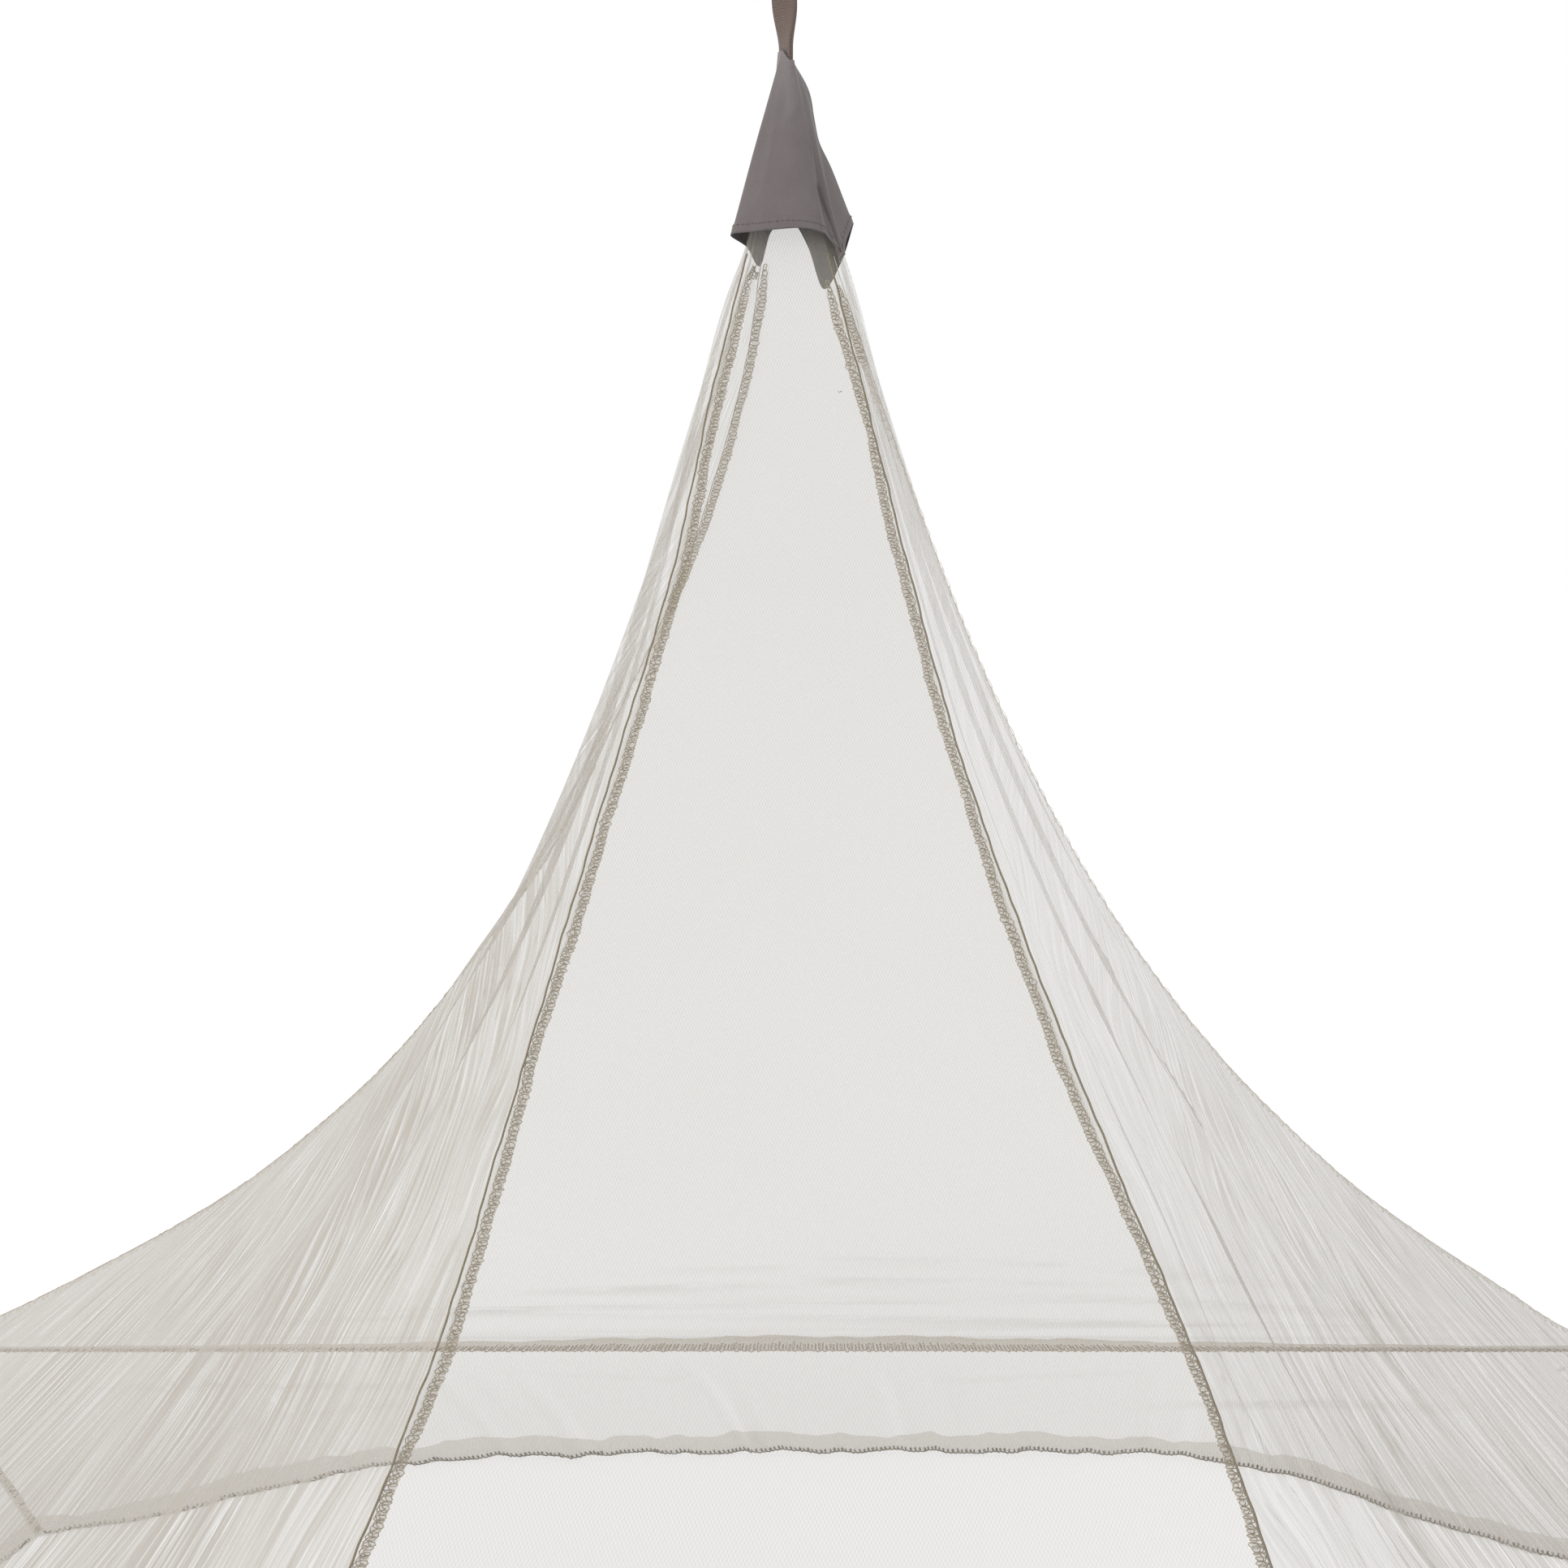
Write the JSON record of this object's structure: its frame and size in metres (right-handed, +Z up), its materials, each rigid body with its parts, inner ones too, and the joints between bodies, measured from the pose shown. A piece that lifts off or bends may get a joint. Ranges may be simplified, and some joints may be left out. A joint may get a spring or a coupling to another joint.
{
  "type": "mosquito net canopy",
  "caption": "Sheer pyramid net hung from one webbing loop, with a woven cap over its apex, overlocked ridge seams and a short hemmed skirt that reaches the floor.",
  "frame": {"origin": "the hang point, on the inside top of the webbing loop", "axes": "+Z up, +Y from the foot of the net towards its steep head panel, +X to the right as seen from the foot"},
  "size_m": [1.3359, 1.9014, 1.1009],
  "materials": {
    "net": "sheer warp-knitted polyester net, grey-beige",
    "overlocked_seam": "two layers of net under overlock stitching, grey-beige",
    "cap_cloth": "plain-woven polyester, grey-taupe, matt",
    "webbing": "grosgrain webbing, taupe, fine cross ribs"
  },
  "bodies": {
    "root": {"front_panel": "net", "back_panel": "net", "left_panel": "net", "right_panel": "net", "front_skirt": "net", "back_skirt": "net", "left_skirt": "net", "right_skirt": "net", "front_seam_left": "overlocked_seam", "front_seam_right": "overlocked_seam", "back_seam_left": "overlocked_seam", "back_seam_right": "overlocked_seam", "front_eave_seam": "overlocked_seam", "back_eave_seam": "overlocked_seam", "left_eave_seam": "overlocked_seam", "right_eave_seam": "overlocked_seam", "front_corner_left": "overlocked_seam", "front_corner_right": "overlocked_seam", "back_corner_left": "overlocked_seam", "back_corner_right": "overlocked_seam", "cap": "cap_cloth", "hang_loop": "webbing"}
  },
  "joints": []
}
